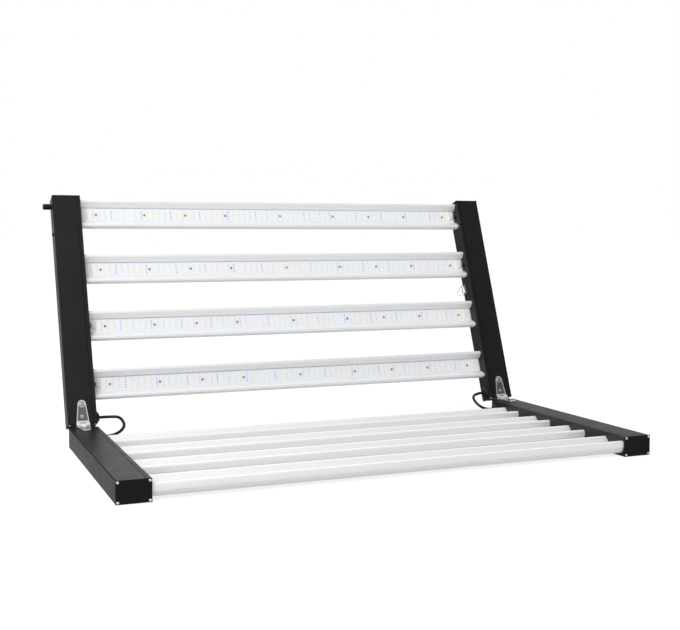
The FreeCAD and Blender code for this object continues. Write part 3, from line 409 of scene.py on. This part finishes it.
# each cable's route from the upper wing's gland to the lower wing's, in the part's frame in metres
JUMPERS = {
    "left": [
        (-0.45325, 0.17395, 0.05356),
        (-0.43025, 0.17395, 0.05356),
        (-0.40975, 0.16419, 0.05350),
        (-0.40475, 0.13519, 0.03650),
        (-0.43025, 0.12669, 0.02100),
        (-0.45325, 0.12669, 0.02100),
    ],
    "right": [
        (0.46975, 0.17395, 0.05356),
        (0.45325, 0.17395, 0.05356),
        (0.43225, 0.16069, 0.04700),
        (0.43225, 0.13519, 0.03250),
        (0.45125, 0.12669, 0.02100),
        (0.46975, 0.12669, 0.02100),
    ],
}
JUMPER_DIAMETER = 0.0062


def jumper_cable(side):
    """The cable from the upper wing's gland to the lower wing's."""
    name = f"{side}_jumper"
    path = resolved_path(name, JUMPERS[side])
    bm = bmesh.new()
    add_tube(bm, path, JUMPER_DIAMETER / 2, CABLE_SIDES)
    cable = from_bmesh(name, bm, Matrix(), TUBE_SMOOTHING)
    cable.data.materials.append(JACKET)
    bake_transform(cable)
    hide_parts(f"{side}_jumper_cable")


jumper_cable("left")
jumper_cable("right")

# ---------------------------------------------------------------- lead wires

WIRE_RADIUS = 0.8 * MM
# a wire's points: the distance from the rail's wall, the distance from the bar's middle, and height
WIRE_ROUTE = [
    (10.0 * MM, 2.4 * MM, TERMINAL_Z),
    (7.5 * MM, 2.4 * MM, TERMINAL_Z),
    (5.0 * MM, 2.2 * MM, WALL_HOLE_Z + 1.2 * MM),
    (2.5 * MM, 1.3 * MM, WALL_HOLE_Z + 0.6 * MM),
    (0.5 * MM, 0.9 * MM, WALL_HOLE_Z),
    (-1.5 * MM, 0.9 * MM, WALL_HOLE_Z),
]


def lead_wires(wing):
    """A red and a black wire from each board's terminal into the rail."""
    bm = bmesh.new()
    for number in BARS:
        wall = WIRED_SIDE[number] * RAIL_INNER_X
        for material, way in enumerate((1, -1)):
            route = [
                (wall - WIRED_SIDE[number] * inwards, BAR_REACH[number] + across * way, z)
                for inwards, across, z in WIRE_ROUTE]
            add_tube(bm, resolved_path("wire", route), WIRE_RADIUS, WIRE_SIDES, material)
    piece = from_bmesh(f"{wing}_lead_wires", bm, WINGS[wing], TUBE_SMOOTHING)
    finish_piece(piece, BODY[wing], "cable_jacket", RED_WIRE, BLACK_WIRE)


for wing in WINGS:
    lead_wires(wing)

# ---------------------------------------------------------------- LED packages

LED_HALF_X = 1.9 * MM
LED_HALF_Y = 1.6 * MM
LED_HEIGHT = 0.75 * MM
LED_DRAFT = 0.03 * MM
LED_RIM = 0.16 * MM
LED_WELL = 0.12 * MM
LED_WELL_TAPER = 1.2
LED_CORNER = 0.25 * MM
WINDOW_CORNER = 0.45 * MM
LED_GAP_AT_SCREW = 5.6 * MM

# the windows' places in an LED piece's materials, after the frame's, and their order outwards
ORANGE, YELLOW, DARK, PALE = 1, 2, 3, 4
WINDOW_MATERIALS = (PHOSPHOR_ORANGE, PHOSPHOR_YELLOW, LED_DARK, LED_PALE)
WINDOW_PATTERN = (ORANGE, YELLOW, ORANGE, YELLOW, DARK)


def led_window(column):
    """The window material of a column; columns count outwards from the middle of the board."""
    if column == COLUMNS_EACH_SIDE - 1:
        return PALE
    return WINDOW_PATTERN[column % len(WINDOW_PATTERN)]


def octagon(half_x, half_y, corner):
    """An oblong with its corners cut, as (x, y) points."""
    points = []
    for way_x, way_y in ((1, 1), (-1, 1), (-1, -1), (1, -1)):
        ends = [
            (way_x * half_x, way_y * (half_y - corner)),
            (way_x * (half_x - corner), way_y * half_y)]
        points += ends if way_x * way_y > 0 else ends[::-1]
    return points


def add_led(bm, centre, window):
    """A surface-mount LED: an oblong package with a window set into its top."""
    def ring(z, shrink, corner):
        points = octagon(LED_HALF_X - shrink, LED_HALF_Y - shrink, corner)
        return [bm.verts.new(centre + Vector((x, y, z))) for x, y in points]

    rings = [
        ring(0, 0, LED_CORNER),
        ring(LED_HEIGHT, LED_DRAFT, LED_CORNER),
        ring(LED_HEIGHT, LED_RIM, WINDOW_CORNER),
        ring(LED_HEIGHT - LED_WELL, LED_RIM * LED_WELL_TAPER, WINDOW_CORNER),
    ]
    for lower, upper in zip(rings, rings[1:]):
        for step in range(len(lower)):
            following = (step + 1) % len(lower)
            bm.faces.new((lower[step], lower[following], upper[following], upper[step]))
    bm.faces.new(rings[-1]).material_index = window
    bm.faces.new(reversed(rings[0]))


def leds(wing, number):
    """All the LEDs of one board, in columns of four, with none where a screw's head is."""
    bm = bmesh.new()
    for side in (-1, 1):
        for column in range(COLUMNS_EACH_SIDE):
            x = (column + 0.5) * COLUMN_PITCH * side
            for y in ROWS:
                near_screw = any(
                    math.hypot(x - screw * COLUMN_PITCH, y) < LED_GAP_AT_SCREW
                    for screw in SCREW_COLUMNS)
                if not near_screw:
                    centre = Vector((x, BAR_REACH[number] + y, BOARD_Z))
                    add_led(bm, centre, led_window(column))
    piece = from_bmesh(f"{wing}_leds_{number}", bm, WINGS[wing])
    finish_piece(piece, BODY[wing], "led_board", LED_FRAME, *WINDOW_MATERIALS)


for wing in WINGS:
    for number in BARS:
        leds(wing, number)

# ---------------------------------------------------------------- hinge bosses

HINGE_X = 0.4985
FAR_SCREW_REACH = 44.5 * MM
BOSS_SIDES = 32
# the boss's section, as (distance from the screw's middle, height above the tray)
BOSS_SECTION = [
    (4.3 * MM, 0.0),
    (4.6 * MM, 0.8 * MM),
    (6.2 * MM, 0.8 * MM),
    (6.7 * MM, 0.0),
]


def hinge_bosses(wing):
    """The raised ring pressed into each hinge leaf round its far screw."""
    bm = bmesh.new()
    for side in (-1, 1):
        centre = Vector((HINGE_X * side, FAR_SCREW_REACH, TRAY_Z))
        sections = []
        for step in range(BOSS_SIDES):
            angle = 2 * math.pi * step / BOSS_SIDES
            way = Vector((math.cos(angle), math.sin(angle), 0))
            sections.append([
                bm.verts.new(centre + way * radius + Vector((0, 0, height)))
                for radius, height in BOSS_SECTION])
        for first, second in zip(sections, sections[1:] + sections[:1]):
            for corner in range(len(BOSS_SECTION)):
                corners = (first[corner], first[corner - 1], second[corner - 1], second[corner])
                bm.faces.new(corners)
    bmesh.ops.recalc_face_normals(bm, faces=bm.faces)
    piece = from_bmesh(f"{wing}_hinge_bosses", bm, WINGS[wing], BOSS_SMOOTHING)
    finish_piece(piece, BODY[wing], "hinge_zinc", SCREW_STEEL)


for wing in WINGS:
    hinge_bosses(wing)

# ---------------------------------------------------------------- finishes of the CAD nodes

SLOT_MATERIAL = {
    "black_rail": BLACK_COAT,
    "bar_aluminium": ANODISED,
    "led_board": SOLDER_MASK,
    "board_screw": DARK_STEEL,
    "screw_steel": SCREW_STEEL,
    "hinge_zinc": ZINC,
    "hanger_zinc": HANGER_ZINC,
    "terminal_plastic": TERMINAL,
    "black_rubber": RUBBER,
    "cable_jacket": JACKET,
    "driver_case": DRIVER_CASE,
    "knob_plastic": KNOB,
    "control_plastic": DARK_PLASTIC,
}
# nodes whose finish isn't their slot's usual one
NODE_MATERIAL = {"upper_end_caps": CAP_COAT, "lower_end_caps": CAP_COAT}
for wing in WINGS:
    leaf_material = hinge_zinc(wing)
    for side in ("left", "right"):
        NODE_MATERIAL[f"{wing}_{side}_hinge_leaf"] = leaf_material
        NODE_MATERIAL[f"{wing}_{side}_hanger_ring"] = RING_WIRE
for part in frame["record"]["subparts"]:
    material = NODE_MATERIAL.get(part["node"], SLOT_MATERIAL[part["material_slot"]])
    for place in nodes[part["node"]].material_slots:
        place.material = material


# ---------------------------------------------------------------- floor and light

FLOOR_REACH = 60.0
FLOOR_GLOW = 0.66


def make_floor():
    """A pale floor that glows a little, like a light table, so that shadows on it stay faint."""
    bm = bmesh.new()
    bmesh.ops.create_grid(bm, x_segments=1, y_segments=1, size=FLOOR_REACH)
    floor = from_bmesh("floor", bm, Matrix())
    m = Shader("pale_floor")
    m.set(
        Roughness=0.9, Specular_IOR_Level=0.0, Emission_Strength=FLOOR_GLOW, Emission_Color=WHITE)
    shades = [(0.3, (0.40, 0.40, 0.40)), (0.7, (0.41, 0.41, 0.41))]
    m.colour(m.ramp(m.noise(m.coordinates(), scale=2.0), shades))
    floor.data.materials.append(m.material)
    floor.visible_glossy = False


KEY_PLACE = Vector((-2.0, -1.9, 2.6))
KEY_TARGET = Vector((0.0, 0.2, 0.25))
KEY_SIZE = 1.6
KEY_RADIANCE = 7.0


def make_key_light():
    """A soft square light that the camera doesn't see. Its radiance is that of its face."""
    data = bpy.data.lights.new("key", "AREA")
    data.shape = "RECTANGLE"
    data.size = KEY_SIZE
    data.size_y = KEY_SIZE
    data.energy = KEY_RADIANCE * math.pi * KEY_SIZE * KEY_SIZE
    light = bpy.data.objects.new("key", data)
    light.location = KEY_PLACE
    light.rotation_euler = (KEY_TARGET - KEY_PLACE).to_track_quat("-Z", "Y").to_euler()
    light.visible_camera = False
    scene.collection.objects.link(light)


# the studio's light from each side, as (direction, where the change starts, where it ends,
# strength); the starts and ends are cosines of the angle from the direction
STUDIO_SIDES = [
    ((0.0, 0.0, 1.0), 0.30, 0.90, 1.45),
    ((0.0, 0.0, -1.0), 0.15, 0.50, 0.10),
    ((0.65, -0.50, 0.57), 0.50, 0.96, 0.12),
    ((-0.60, 0.80, 0.0), 0.84, 0.97, 0.20),
    ((0.60, 0.79, 0.15), 0.84, 0.97, 0.50),
]


def make_world():
    """White paper all round for the camera; soft light with darker sides for the object."""
    world = bpy.data.worlds.new("studio")
    world.use_nodes = True
    tree = world.node_tree
    background = tree.nodes["Background"]
    background.inputs["Color"].default_value = WHITE
    way = tree.nodes.new("ShaderNodeTexCoord")
    light = tree.nodes.new("ShaderNodeValue")
    light.outputs[0].default_value = 1.0
    for direction, start, end, strength in STUDIO_SIDES:
        towards = tree.nodes.new("ShaderNodeVectorMath")
        towards.operation = "DOT_PRODUCT"
        towards.inputs[1].default_value = Vector(direction).normalized()
        tree.links.new(way.outputs["Generated"], towards.inputs[0])
        change = tree.nodes.new("ShaderNodeMapRange")
        change.inputs["From Min"].default_value = start
        change.inputs["From Max"].default_value = end
        change.inputs["To Min"].default_value = 1.0
        change.inputs["To Max"].default_value = strength
        tree.links.new(towards.outputs["Value"], change.inputs["Value"])
        product = tree.nodes.new("ShaderNodeMath")
        product.operation = "MULTIPLY"
        tree.links.new(light.outputs[0], product.inputs[0])
        tree.links.new(change.outputs["Result"], product.inputs[1])
        light = product
    rays = tree.nodes.new("ShaderNodeLightPath")
    seen = tree.nodes.new("ShaderNodeMapRange")
    tree.links.new(rays.outputs["Is Camera Ray"], seen.inputs["Value"])
    tree.links.new(light.outputs[0], seen.inputs["To Min"])
    tree.links.new(seen.outputs["Result"], background.inputs["Strength"])
    scene.world = world


scene.view_settings.view_transform = "Standard"
make_floor()
make_world()
make_key_light()
